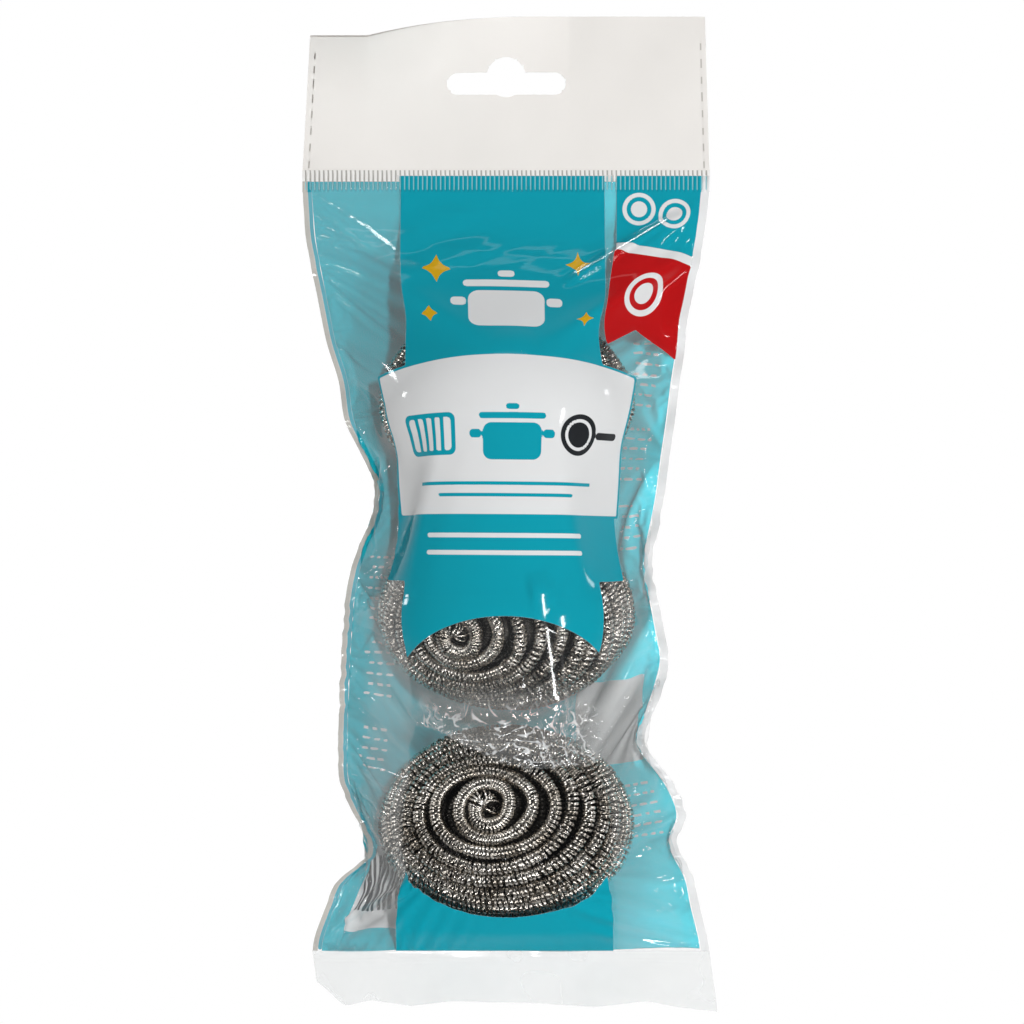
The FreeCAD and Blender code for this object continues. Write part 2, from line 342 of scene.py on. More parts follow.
def steel_material(name, bright, warm, polish_range):
    material = bpy.data.materials.new(name)
    material.use_nodes = True
    tree = material.node_tree
    shader = tree.nodes["Principled BSDF"]
    shader.inputs["Metallic"].default_value = 1.0
    stain = tree.nodes.new("ShaderNodeGroup")
    stain.node_tree = steel_stain
    stain.inputs["Fineness"].default_value = stain_fineness
    colour = new_node(tree, "Mix", data_type="RGBA")
    colour.inputs[6].default_value = bright
    colour.inputs[7].default_value = warm
    tree.links.new(stain.outputs["Stain"], colour.inputs["Factor"])
    tree.links.new(colour.outputs[2], shader.inputs["Base Color"])
    polish = new_node(tree, "MapRange")
    polish.inputs["To Min"].default_value = polish_range[0]
    polish.inputs["To Max"].default_value = polish_range[1]
    tree.links.new(stain.outputs["Polish"], polish.inputs["Value"])
    tree.links.new(polish.outputs["Result"], shader.inputs["Roughness"])
    return material


strand_steel = steel_material("strand_steel", steel_bright, steel_warm, strand_polish)
# A near-black copy of the steel for the inner layers: painted shade inside the ball.
inner_steel_shaded = steel_material("inner_steel_shaded", steel_shade, steel_deep_shade, inner_polish)

scourer_shapes = {}
for number, place in enumerate(("top", "middle", "bottom")):
    low, high = (np.array(corner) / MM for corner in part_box(f"{place}_scourer_winding"))
    scourer_centre = (low + high) / 2
    scourer_half = (high - low) / 2
    scourer_half[1:] = scourer_half[1:].max()
    scourer_shapes[place] = (scourer_centre, scourer_half)
    rng = np.random.default_rng(scourer_seed + number)
    points, faces = wound_ribbon(rng, scourer_half, eye_leans[place], strand_loops, strand_radius,
                                 facets_per_curl)
    strand = mesh_piece(f"{place}_scourer_strand", points + scourer_centre, faces, strand_steel)
    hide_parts(f"{place}_scourer_winding")
    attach(strand, f"{place}_scourer")
    steel_lit.objects.link(strand)

    # Under the strand, more layers of it and a closed shell, in the near-black steel as painted shade.
    points, faces = wound_ribbon(rng, scourer_half - inner_depth, eye_leans[place], inner_loops,
                                 strand_radius, inner_facets)
    turn = np.linspace(0.0, math.pi, shade_rings + 1)[:, None]
    spin = np.linspace(0.0, 2 * math.pi, shade_sides, endpoint=False)[None, :]
    shade = np.stack([np.cos(turn) + 0 * spin, np.sin(turn) * np.cos(spin),
                      np.sin(turn) * np.sin(spin)], axis=2)
    shade = shade.reshape(-1, 3) * (scourer_half - shade_depth)
    ring = len(points) + np.arange((shade_rings + 1) * shade_sides).reshape(-1, shade_sides)
    beside = np.roll(ring, -1, axis=1)
    shade_faces = np.stack([ring[:-1], beside[:-1], beside[1:], ring[1:]], axis=2).reshape(-1, 4)
    faces = np.concatenate([faces, shade_faces])
    points = np.concatenate([points, shade])
    layers = mesh_piece(f"{place}_scourer_layers", points + scourer_centre, faces, inner_steel_shaded)
    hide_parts(f"{place}_scourer_core")
    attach(layers, f"{place}_scourer")
    steel_lit.objects.link(layers)


# Bag film, shaped
# Two panels of thin clear film, welded to each other down both sides and drawn tight over the three
# scourers. The panels start as a straight open tube and are drawn in onto the scourers as cloth.
weld_width = 2.4
panel_columns = 84
panel_rows = 176
film_frames = 50
film_scale = 20.0
seam_wave = 1.6
film_seed = 7
crimp_box = [np.array(corner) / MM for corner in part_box("top_crimp_seal")]
foot_box = [np.array(corner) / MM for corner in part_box("bottom_seal")]
film_box = [np.array(corner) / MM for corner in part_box("front_film")]
bag_top = crimp_box[0][2]
bag_foot = foot_box[1][2]
flat_width = crimp_box[1][0] - crimp_box[0][0]
panel_width = flat_width - 2 * weld_width
film_rise = -film_box[0][1] - 0.15
mouth_rise = 0.6
start_rise = 1.03 * film_rise
drawn_frame = 24
former_inset = 0.2
start_unevenness = 0.03
seam_left = [(-30.4, -51.4), (-43, -50.4), (-59, -47.3), (-70, -45.2), (-80, -41.8), (-91, -40.4),
             (-101, -35.2), (-108, -31.9), (-116, -32.9), (-128, -38.1), (-138, -40.2), (-154, -41.2),
             (-175, -42.0), (-186, -42.0), (-194, -38.4), (-202, -33.7), (-207, -34.0), (-212, -42.8),
             (-218, -44.7), (-228, -48.6), (-231, -48.8)]
seam_right = [(-30.4, 51.4), (-43, 49.7), (-59, 46.7), (-64, 45.4), (-72, 45.0), (-80, 43.6),
              (-91, 42.3), (-101, 40.7), (-112, 39.4), (-122, 37.3), (-128, 35.9), (-133, 36.5),
              (-138, 37.8), (-149, 39.9), (-154, 41.2), (-165, 38.0), (-172, 34.6), (-176, 33.6),
              (-181, 37.4), (-186, 41.6), (-192, 44.6), (-196.5, 45.8), (-202, 41.8), (-207, 44.7),
              (-212, 47.6), (-218, 48.4), (-228, 51.0), (-231, 51.4)]
foot_gather = 2.6


def arc_half_chord(rise):
    """Half the chord of an arc with this rise whose length is the panel's width."""
    low, high = rise, panel_width
    for _ in range(50):
        half = (low + high) / 2
        radius = (half * half + rise * rise) / (2 * rise)
        if 4 * radius * math.atan(rise / half) < panel_width:
            low = half
        else:
            high = half
    return (low + high) / 2


top_scourer_z = scourer_shapes["top"][0][2]
bottom_scourer_z = scourer_shapes["bottom"][0][2]
middle_line = [(bag_top, mouth_rise)]
for end, start_z, way in ((bag_top, top_scourer_z, 1), (bag_foot, bottom_scourer_z, -1)):
    lean_angle = math.asin(film_rise / abs(end - start_z))
    angles = np.linspace(lean_angle, 0.0, 13)[::way]
    middle_line += [(start_z + way * film_rise * math.sin(a), film_rise * math.cos(a)) for a in angles]
middle_line = np.array(middle_line + [(bag_foot, mouth_rise)])
line_length = np.concatenate([[0.0], np.cumsum(np.hypot(*np.diff(middle_line, axis=0).T))])
panel_length = line_length[-1]
row_down = np.linspace(0.0, panel_length, panel_rows + 1)
row_share = row_down / panel_length

tube_columns = 2 * panel_columns
tube = np.arange((panel_rows + 1) * tube_columns).reshape(panel_rows + 1, tube_columns)
column_share = 1 - np.abs(1 - np.arange(tube_columns) / panel_columns)
facing = np.where(np.arange(tube_columns) < panel_columns, -1.0, 1.0)


def lens_row(rise):
    """One row of the tube across, with both panels arched to this rise."""
    half = arc_half_chord(rise)
    radius = (half * half + rise * rise) / (2 * rise)
    angle = 2 * math.atan(rise / half) * (2 * column_share - 1)
    return radius * np.sin(angle), facing * (radius * np.cos(angle) - radius + rise)


start_points = np.zeros((panel_rows + 1, tube_columns, 3))
start_points[:, :, 0], start_points[:, :, 1] = lens_row(start_rise)
start_points[:, :, 2] = ((bag_top + bag_foot + panel_length) / 2 - row_down)[:, None]

drawn_points = start_points.copy()
flat_across = panel_width * (column_share - 0.5)
foot_across = flat_across + foot_gather * np.clip(-2 * flat_across / panel_width, 0, 1) ** 2
for row, end_z, across in ((0, bag_top, flat_across), (panel_rows, bag_foot, foot_across)):
    drawn_points[row, :, 0] = across
    drawn_points[row, :, 1] = facing * mouth_rise * (1 - (2 * flat_across / panel_width) ** 2)
    drawn_points[row, :, 2] = end_z
seam_z = bag_top + (bag_foot - bag_top) * row_share
soft_steps = np.hanning(11)[1:-1] / np.hanning(11).sum()
for column, line, phase in ((0, seam_left, 0.4), (panel_columns, seam_right, 2.0)):
    line_z, line_x = np.array(line)[::-1].T
    seam_x = np.pad(np.interp(seam_z, line_z, line_x), 4, mode="edge")
    seam_x = np.convolve(seam_x, soft_steps, mode="valid")
    ripple = np.sin(seam_z / 6.1 + phase) + 0.7 * np.sin(seam_z / 3.3 + 2 * phase)
    drawn_points[:, column, 0] = seam_x
    drawn_points[:, column, 1] = seam_wave * ripple * np.sqrt(np.sin(math.pi * row_share).clip(0))
    drawn_points[:, column, 2] = seam_z

rng = np.random.default_rng(film_seed)
start_points[1:-1] += rng.normal(0.0, start_unevenness, start_points[1:-1].shape)
grow = film_scale * MM
after = np.roll(tube, -1, axis=1)
quads = np.stack([tube[:-1], tube[1:], after[1:], after[:-1]], axis=2).reshape(-1, 4)
cloth_mesh = bpy.data.meshes.new("film_cloth")
cloth_mesh.from_pydata((start_points.reshape(-1, 3) * grow).tolist(), [], quads.tolist())
cloth_piece = bpy.data.objects.new("film_cloth", cloth_mesh)
scene.collection.objects.link(cloth_piece)
cloth_piece.shape_key_add(name="start")
drawn_key = cloth_piece.shape_key_add(name="drawn")
drawn_key.data.foreach_set("co", drawn_points.ravel() * grow)
for value, key_frame in ((0.0, 1), (1.0, drawn_frame)):
    drawn_key.value = value
    drawn_key.keyframe_insert("value", frame=key_frame)
welds = cloth_piece.vertex_groups.new(name="welds")
welded = np.concatenate([tube[0], tube[-1], tube[:, 0], tube[:, panel_columns]])
welds.add(np.unique(welded).tolist(), 1.0, "REPLACE")

formers = []
for scourer_centre, scourer_half in scourer_shapes.values():
    bpy.ops.mesh.primitive_uv_sphere_add(segments=64, ring_count=40, radius=1.0)
    former = bpy.context.object
    for vertex in former.data.vertices:
        vertex.co = [(c + v * (h - former_inset)) * grow
                     for c, v, h in zip(scourer_centre, vertex.co, scourer_half)]
    former.modifiers.new("Collision", "COLLISION")
    former.collision.thickness_outer = 0.006
    former.collision.cloth_friction = 5.0
    formers.append(former)

cloth = cloth_piece.modifiers.new("Cloth", "CLOTH")
film_feel = {
    "quality": 6, "mass": 0.3, "air_damping": 3.0, "bending_model": "ANGULAR",
    "tension_stiffness": 40.0, "compression_stiffness": 40.0, "shear_stiffness": 30.0,
    "bending_stiffness": 0.6, "tension_damping": 10.0, "compression_damping": 10.0,
    "shear_damping": 10.0, "bending_damping": 1.0, "vertex_group_mass": "welds",
    "pin_stiffness": 1.0, "use_pressure": True, "uniform_pressure_force": -0.8,
}
for name, value in film_feel.items():
    setattr(cloth.settings, name, value)
cloth.settings.effector_weights.gravity = 0.0
cloth.collision_settings.distance_min = 0.008
cloth.collision_settings.collision_quality = 3
cloth.point_cache.frame_end = film_frames
for step in range(1, film_frames + 1):
    scene.frame_set(step)
settled = cloth_piece.evaluated_get(bpy.context.evaluated_depsgraph_get()).to_mesh()
film_points = np.zeros(3 * len(settled.vertices))
settled.vertices.foreach_get("co", film_points)
film_points = film_points.reshape(start_points.shape) / grow
for helper in [cloth_piece] + formers:
    helper_mesh = helper.data
    bpy.data.objects.remove(helper)
    bpy.data.meshes.remove(helper_mesh)
for action in list(bpy.data.actions):
    bpy.data.actions.remove(action)
scene.frame_set(1)


def refined(grid):
    """Twice as many rows and columns, on a smooth curve through the old ones."""
    for axis in (0, 1):
        old = np.moveaxis(grid, axis, 0)
        padded = np.concatenate([2 * old[:1] - old[1:2], old, 2 * old[-1:] - old[-2:-1]])
        new = np.empty((2 * len(old) - 1,) + old.shape[1:])
        new[0::2] = old
        new[1::2] = (9 * (padded[1:-2] + padded[2:-1]) - padded[:-3] - padded[3:]) / 16
        grid = np.moveaxis(new, 0, axis)
    return grid


# Front film
# The front panel is clear film printed on its inside: a teal band with a round window over the
# bottom scourer, a white label, a teal block and a red pennant. Both welded edges stay with it.
teal = (0.0052, 0.314, 0.407, 1.0)
back_teal = (0.010, 0.42, 0.51, 1.0)
painted_light_teal = (0.05, 0.78, 0.92, 1.0)
white_ink = (0.73, 0.74, 0.745, 1.0)
red = (0.47, 0.0075, 0.009, 1.0)
yellow = (0.62, 0.36, 0.012, 1.0)
dark_ink = (0.02, 0.022, 0.025, 1.0)
haze_colour = (0.85, 0.87, 0.87, 1.0)
hollow_painted_shade = (0.36, 0.35, 0.33, 1.0)
weld_grey = (0.44, 0.43, 0.39, 1.0)
weld_pale = (0.76, 0.77, 0.78, 1.0)
print_left = -52.5
print_right = 51.7
print_seed = 11
film_roughness = 0.32
shine_roughness = 0.07
film_shine = 0.045
loose_shine = 0.20
crease_depth = 0.06
crease_fineness = 55.0
crumple_fineness = 4.6
crumple_bump = 2.5
fold_line_span = (1.10, 1.50)
clear_veil = 0.028
left_veil = 0.14
right_veil = 0.05
window_veil = 0.02
loose_veil = 0.11
fold_highlight_cover = 0.85
hollow_shade_cover = 0.44
cling_veil = 0.004
cling_share = 0.88
smoothing_steps = 60
smoothing_share = 0.8
tight_foot = 136.0
print_foot = 217.3
hollow_v = 147.0
hollow_half = 6.0
crumple_top = 138.0
band_edge = 28.6
film_gap = 0.45
panel_gap = 0.08
crumple_seed = 5
crumple_waves = 11
crumple_depth = 1.1
side_crumple = 0.5
facet_waves = 3
facet_depth = 0.6


def box_edge(u, v, left, right, top, foot, corner=0.0):
    """Distance outside a box with rounded corners, below zero inside it."""
    over_u = np.abs(u - (left + right) / 2) - (right - left) / 2 + corner
    over_v = np.abs(v - (top + foot) / 2) - (foot - top) / 2 + corner
    outside = np.hypot(np.maximum(over_u, 0), np.maximum(over_v, 0))
    return outside + np.minimum(np.maximum(over_u, over_v), 0) - corner


def disc_edge(u, v, centre_u, centre_v, radius):
    return np.hypot(u - centre_u, v - centre_v) - radius


def joined(*edges):
    return np.minimum.reduce(edges)


def cut(edge, *holes):
    return np.maximum.reduce([edge] + [-hole for hole in holes])


def sparkle_edge(u, v, centre_u, centre_v, reach):
    """A four-pointed sparkle."""
    return (np.sqrt(np.abs(u - centre_u)) + np.sqrt(np.abs(v - centre_v))) ** 2 - reach


def pot_edge(u, v, centre_u, centre_v, size):
    """A cooking pot with two handles, a lid and a knob."""
    u = (u - centre_u) / size
    v = (v - centre_v) / size
    body = box_edge(u, v, -9.0, 9.0, -3.2, 8.0, 2.6)
    lid = box_edge(u, v, -10.2, 10.2, -6.3, -4.4, 0.9)
    knob = box_edge(u, v, -2.0, 2.0, -9.0, -7.2, 0.8)
    ears = box_edge(np.abs(u), v, 9.5, 13.2, -1.2, 1.4, 1.0)
    return size * joined(body, lid, knob, ears)


def pan_edge(u, v, centre_u, centre_v, size):
    """A frying pan from above, its rim as a ring and its handle to one side."""
    u = (u - centre_u) / size
    v = (v - centre_v) / size
    rim = cut(disc_edge(u, v, 0.0, 0.0, 6.4), disc_edge(u, v, 0.0, 0.0, 4.9))
    base = disc_edge(u, v, 0.0, 0.0, 3.9)
    handle = box_edge(u, v, 6.6, 15.5, -1.15, 1.15, 1.0)
    return size * joined(rim, base, handle)


def grill_edge(u, v, centre_u, centre_v, size):
    """A grill rack: a frame with bars."""
    u = (u - centre_u) / size
    v = (v - centre_v) / size
    frame_edge = cut(box_edge(u, v, -9.0, 9.0, -6.5, 6.5, 2.0),
                     box_edge(u, v, -7.6, 7.6, -5.1, 5.1, 1.2))
    bars = [box_edge(u, v, bar - 0.65, bar + 0.65, -5.5, 5.5) for bar in (-4.6, -1.55, 1.55, 4.6)]
    return size * joined(frame_edge, *bars)


def ball_edge(u, v, centre_u, centre_v, radius):
    """A wound ball: a disc with a ring left out of it."""
    away = np.hypot(u - centre_u, v - centre_v)
    return cut(away - radius, np.abs(away - 0.62 * radius) - 0.13 * radius)


def window_edge(u, v):
    """The round window that the band leaves bare over the bottom scourer."""
    return disc_edge(u, v, 0.0, 161.2, 41.7)


def front_inks(u, v):
    """Each ink of the front print in the order that it is laid: its colour, cover and edge."""
    band_foot = 219.0 + 0.5 * np.sin(u / 5.5)
    band_sides = np.maximum(-27.9 - 0.0097 * v - u, u - 26.1 - 0.0106 * v)
    band = cut(np.maximum.reduce([band_sides, -4.3 - v, v - band_foot]), window_edge(u, v))
    label_top = 51.0 + 4.0 * (u / 37.0) ** 2
    label_half = 37.0 - 0.8 * np.sin((v - 60.0) / 5.5)
    label = np.maximum.reduce([np.abs(u) - label_half, label_top - v, v - 93.0])
    block = box_edge(u, v, -38.6, 36.4, 90.0, 110.6)
    slope = 0.21 * (u - 28.0)
    corner_block = np.maximum(box_edge(u, v, 29.2, print_right, -4.3, 40.0), v - 13.6 - slope)
    stripe = np.maximum.reduce([29.2 - u, u - print_right, 13.6 + slope - v, v - 16.2 - slope])
    tail = 41.5 + 0.55 * np.abs(u - 38.5) - 0.6
    pennant_left = 29.0 - 1.8 * np.sin(np.clip((v - 16.0) / 30.0, 0, 1) * math.pi)
    pennant = np.maximum.reduce([pennant_left - u, u - print_right, 16.2 + slope - v, v - tail])
    top_pot = pot_edge(u, v, 0.0, 32.5, 1.12)
    sparkles = joined(sparkle_edge(u, v, -18.5, 22.0, 6.0), sparkle_edge(u, v, 19.0, 20.5, 4.6),
                      sparkle_edge(u, v, 21.5, 39.0, 3.6), sparkle_edge(u, v, -21.0, 37.5, 4.0))
    icons = joined(grill_edge(u, v, -21.5, 72.0, 0.86), pot_edge(u, v, 1.5, 72.0, 0.86))
    pan = pan_edge(u, v, 20.0, 72.0, 0.86)
    rules = joined(*[box_edge(u, v, -half, half, down - 0.45, down + 0.45, 0.4)
                     for half, down in ((26.0, 85.0), (19.0, 88.0))])
    block_rules = joined(*[box_edge(u, v, -half, half, down - 0.6, down + 0.6, 0.5)
                           for half, down in ((22.0, 98.5), (22.0, 103.0))])
    pair = joined(ball_edge(u, v, 35.2, 4.6, 4.4), ball_edge(u, v, 44.8, 6.2, 4.4))
    single = ball_edge(u, v, 39.0, 30.5, 6.6)
    weld_teal = np.maximum.reduce([panel_width / 2 - np.abs(u), print_left - u, u - print_right,
                                   v - print_foot, -2.8 - v])
    return [
        # The weld fins, outside the print, are tinted: grey on the left and pale on the right.
        ("weld_teal", teal, 0.86, weld_teal),
        ("left_weld", weld_grey, 0.85, u - print_left),
        ("right_weld", weld_pale, 0.8, print_right - u),
        ("teal", teal, 0.995, joined(band, label - 0.7, block, corner_block)),
        ("red", red, 0.995, pennant),
        ("white", white_ink, 0.995, joined(label, stripe, top_pot, block_rules, pair, single)),
        ("yellow", yellow, 0.995, sparkles),
        ("teal_on_white", teal, 0.995, joined(icons, rules)),
        ("dark", dark_ink, 0.995, pan),
    ]


ink_edge = bpy.data.node_groups.new("ink_edge", "ShaderNodeTree")
ink_edge.interface.new_socket("Distance", in_out="INPUT", socket_type="NodeSocketFloat")
ink_edge.interface.new_socket("Mask", in_out="OUTPUT", socket_type="NodeSocketFloat")
edge_in = ink_edge.nodes.new("NodeGroupInput")
edge_out = ink_edge.nodes.new("NodeGroupOutput")
edge_ramp = new_node(ink_edge, "MapRange", interpolation_type="SMOOTHSTEP")
for name, value in (("From Min", -0.07), ("From Max", 0.07), ("To Min", 1.0), ("To Max", 0.0)):
    edge_ramp.inputs[name].default_value = value
ink_edge.links.new(edge_in.outputs["Distance"], edge_ramp.inputs["Value"])
ink_edge.links.new(edge_ramp.outputs["Result"], edge_out.inputs["Mask"])

film_creases = bpy.data.node_groups.new("film_creases", "ShaderNodeTree")
film_creases.interface.new_socket("Fineness", in_out="INPUT", socket_type="NodeSocketFloat")
film_creases.interface.new_socket("Height", in_out="OUTPUT", socket_type="NodeSocketFloat")
film_creases.interface.new_socket("Crumple", in_out="OUTPUT", socket_type="NodeSocketFloat")
film_creases.interface.new_socket("Cloud", in_out="OUTPUT", socket_type="NodeSocketFloat")
crease_in = film_creases.nodes.new("NodeGroupInput")
crease_out = film_creases.nodes.new("NodeGroupOutput")
crease_place = new_node(film_creases, "TexCoord")
warp = new_node(film_creases, "TexNoise")
warp.inputs["Scale"].default_value = 40.0
film_creases.links.new(crease_place.outputs["Object"], warp.inputs["Vector"])
warped = new_node(film_creases, "VectorMath", operation="MULTIPLY_ADD")
warped.inputs[1].default_value = (0.03, 0.03, 0.03)
film_creases.links.new(warp.outputs["Color"], warped.inputs[0])
film_creases.links.new(crease_place.outputs["Object"], warped.inputs[2])
facet = new_node(film_creases, "TexVoronoi", feature="DISTANCE_TO_EDGE")
film_creases.links.new(warped.outputs[0], facet.inputs["Vector"])
film_creases.links.new(crease_in.outputs["Fineness"], facet.inputs["Scale"])
ridge = new_node(film_creases, "MapRange", interpolation_type="SMOOTHSTEP")
ridge.inputs["From Max"].default_value = 0.22
film_creases.links.new(facet.outputs["Distance"], ridge.inputs["Value"])
swell = new_node(film_creases, "TexNoise")
swell.inputs["Detail"].default_value = 3.0
film_creases.links.new(crease_place.outputs["Object"], swell.inputs["Vector"])
film_creases.links.new(crease_in.outputs["Fineness"], swell.inputs["Scale"])
ridge_height = math_node(film_creases, "MULTIPLY", ridge.outputs["Result"], 0.35)
height = math_node(film_creases, "ADD", ridge_height, swell.outputs["Fac"])
film_creases.links.new(height, crease_out.inputs["Height"])
crumple = new_node(film_creases, "TexNoise", noise_type="RIDGED_MULTIFRACTAL")
crumple.inputs["Detail"].default_value = 2.0
crumple.inputs["Offset"].default_value = 1.0
film_creases.links.new(warped.outputs[0], crumple.inputs["Vector"])
crumple_scale = math_node(film_creases, "MULTIPLY", crease_in.outputs["Fineness"], crumple_fineness)
film_creases.links.new(crumple_scale, crumple.inputs["Scale"])
film_creases.links.new(crumple.outputs["Fac"], crease_out.inputs["Crumple"])
film_creases.links.new(warp.outputs["Fac"], crease_out.inputs["Cloud"])


def film_material(name, inks, veil, depth, fineness, prefix):
    """Clear glossy film with its inks laid on it one after another.

    Where veil is None, the piece's own layers say how milky the film is and where it clings.
    """
    material = bpy.data.materials.new(name)
    material.use_nodes = True
    tree = material.node_tree
    shader = tree.nodes["Principled BSDF"]
    shader.inputs["Roughness"].default_value = film_roughness
    shader.inputs["Specular IOR Level"].default_value = 0.0
    creases = tree.nodes.new("ShaderNodeGroup")
    creases.node_tree = film_creases
    creases.inputs["Fineness"].default_value = fineness
    if veil is None:
        veil = new_node(tree, "Attribute", attribute_name=f"{prefix}_veil").outputs["Fac"]
    cloud = math_node(tree, "ADD", creases.outputs["Cloud"], 0.5)
    cover = math_node(tree, "MULTIPLY", cloud, veil)
    # Painted shade: where the hollow layer is set, the film's haze turns dark grey.
    hollow = new_node(tree, "Mix", data_type="RGBA")
    hollow.inputs[6].default_value = haze_colour
    hollow.inputs[7].default_value = hollow_painted_shade
    in_hollow = new_node(tree, "Attribute", attribute_name="hollow").outputs["Fac"]
    tree.links.new(in_hollow, hollow.inputs["Factor"])
    crumpled = new_node(tree, "Attribute", attribute_name="crumpled").outputs["Fac"]
    # Painted highlight: along the sharpest creases of the crumpled film the colour turns pale and more
    # opaque.
    fold_lines = new_node(tree, "MapRange", interpolation_type="SMOOTHSTEP")
    fold_lines.inputs["From Min"].default_value = fold_line_span[0]
    fold_lines.inputs["From Max"].default_value = fold_line_span[1]
    tree.links.new(creases.outputs["Crumple"], fold_lines.inputs["Value"])
    crease_highlight = math_node(tree, "MULTIPLY", fold_lines.outputs["Result"], crumpled)
    pale = new_node(tree, "Mix", data_type="RGBA")
    pale.inputs[7].default_value = haze_colour
    tree.links.new(crease_highlight, pale.inputs["Factor"])
    tree.links.new(hollow.outputs[2], pale.inputs[6])
    colour = pale.outputs[2]
    cover = math_node(tree, "MAXIMUM", cover, math_node(tree, "MULTIPLY", crease_highlight, fold_highlight_cover))
    for ink, ink_colour, strength, _ in inks:
        distance = new_node(tree, "Attribute", attribute_name=f"{prefix}_{ink}")
        edge = tree.nodes.new("ShaderNodeGroup")
        edge.node_tree = ink_edge
        tree.links.new(distance.outputs["Fac"], edge.inputs["Distance"])
        laid = new_node(tree, "Mix", data_type="RGBA")
        tree.links.new(edge.outputs["Mask"], laid.inputs["Factor"])
        tree.links.new(colour, laid.inputs[6])
        laid.inputs[7].default_value = ink_colour
        colour = laid.outputs[2]
        laid_cover = math_node(tree, "MULTIPLY", edge.outputs["Mask"], strength)
        cover = math_node(tree, "MAXIMUM", cover, laid_cover)
    tree.links.new(colour, shader.inputs["Base Color"])
    tree.links.new(cover, shader.inputs["Alpha"])
    bump = new_node(tree, "Bump")
    bump.inputs["Strength"].default_value = 1.0
    bump.inputs["Distance"].default_value = depth * MM
    crumple = math_node(tree, "MULTIPLY", creases.outputs["Crumple"], crumple_bump)
    crumple = math_node(tree, "MULTIPLY", crumple, crumpled)
    tree.links.new(math_node(tree, "ADD", creases.outputs["Height"], crumple), bump.inputs["Height"])
    gloss = new_node(tree, "BsdfGlossy")
    gloss.inputs["Roughness"].default_value = shine_roughness
    turned = new_node(tree, "LayerWeight")
    for socket in (shader.inputs["Normal"], gloss.inputs["Normal"], turned.inputs["Normal"]):
        tree.links.new(bump.outputs["Normal"], socket)
    edge_on = math_node(tree, "POWER", turned.outputs["Facing"], 5.0)
    shine = math_node(tree, "ADD", math_node(tree, "MULTIPLY", edge_on, 1 - film_shine), film_shine)
    shine = math_node(tree, "ADD", shine, math_node(tree, "MULTIPLY", crumpled, loose_shine))
    clings = new_node(tree, "Attribute", attribute_name="cling").outputs["Fac"]
    loose = math_node(tree, "SUBTRACT", 1.0, clings)
    surface = new_node(tree, "MixShader")
    tree.links.new(math_node(tree, "MULTIPLY", shine, loose), surface.inputs["Fac"])
    tree.links.new(shader.outputs[0], surface.inputs[1])
    tree.links.new(gloss.outputs[0], surface.inputs[2])
    tree.links.new(surface.outputs[0], tree.nodes["Material Output"].inputs["Surface"])
    return material


def grid_faces(rows, columns):
    index = np.arange(rows * columns).reshape(rows, columns)
    quads = [index[:-1, :-1], index[1:, :-1], index[1:, 1:], index[:-1, 1:]]
    return np.stack(quads, axis=2).reshape(-1, 4)


def lay_values(piece, name, values):
    layer = piece.data.attributes.new(name, "FLOAT", "POINT")
    layer.data.foreach_set("value", np.ascontiguousarray(values, dtype=np.float32).ravel())


def lay_inks(piece, inks, prefix):
    for ink, _, _, edge in inks:
        lay_values(piece, f"{prefix}_{ink}", edge)


def eased(value):
    """Zero up to 0, one from 1 on, smooth between."""
    value = np.clip(value, 0.0, 1.0)
    return value * value * (3 - 2 * value)


def clear_of_scourers(grid):
    """The grid with each point that lies inside a scourer moved out of it, by the film's gap."""
    for scourer_centre, scourer_half in scourer_shapes.values():
        clear_half = scourer_half + film_gap
        reach = (grid - scourer_centre) / clear_half
        away = np.linalg.norm(reach, axis=2)[:, :, None]
        grid = np.where(away < 1.0, scourer_centre + reach / away * clear_half, grid)
    return grid


front_grid = refined(film_points[:, :panel_columns + 1])
front_u = np.linspace(-panel_width / 2, panel_width / 2, front_grid.shape[1])
front_v = np.linspace(0.0, panel_length, front_grid.shape[0])
flat_u, flat_v = np.meshgrid(front_u, front_v)

# Over the two upper scourers the film is pulled smooth.
tight = eased((tight_foot - flat_v) / 14.0) * (0.25 + 0.75 * eased((46.0 - np.abs(flat_u)) / 9.0))
for _ in range(smoothing_steps):
    smooth = front_grid.copy()
    smooth[1:-1, 1:-1] = (front_grid[:-2, 1:-1] + front_grid[2:, 1:-1]
                          + front_grid[1:-1, :-2] + front_grid[1:-1, 2:]) / 4
    front_grid += (smooth - front_grid) * (smoothing_share * tight)[:, :, None]
front_grid = clear_of_scourers(front_grid)

# The film lies loose and crumpled in the hollow between two scourers, and clings below it. In the
# hollow it is painted a fairly opaque dark grey: painted shade of the gap between the scourers.
cling_from = 158.7 - 10.0 * eased((9.0 - flat_u) / 35.0)
in_band = eased((band_edge - np.abs(flat_u)) / 1.2)
near_band = eased((34.0 - np.abs(flat_u)) / 12.0)
below = eased((flat_v - cling_from) / 0.9)
crumple = near_band * (1 - below) * eased((flat_v - crumple_top) / 9.0)
at_sides = eased((np.abs(flat_u) - 36.0) / 6.0)
at_sides = at_sides * eased((flat_v - 70.0) / 25.0) * eased((212.0 - flat_v) / 15.0)
down_step = np.gradient(front_grid, axis=0)
across_step = np.gradient(front_grid, axis=1)
outward = np.cross(down_step, across_step)
outward /= np.linalg.norm(outward, axis=2)[:, :, None]
rng = np.random.default_rng(crumple_seed)
crumple_height = np.zeros_like(flat_u)
for _ in range(crumple_waves):
    heading = rng.uniform(-0.9, 0.9)
    wave = rng.uniform(4.0, 11.0)
    phase = rng.uniform(0.0, 2 * math.pi)
    run = flat_u * math.sin(heading) + flat_v * math.cos(heading)
    bent = 0.8 * np.sin(flat_u / 6.0 + phase)
    crumple_height += 1 - np.abs(np.sin(math.pi * run / wave + phase + bent))
crumple_height = crumple_depth * (crumple_height - crumple_height.mean()) / math.sqrt(crumple_waves)
front_grid = front_grid + outward * ((crumple + side_crumple * at_sides) * crumple_height)[:, :, None]

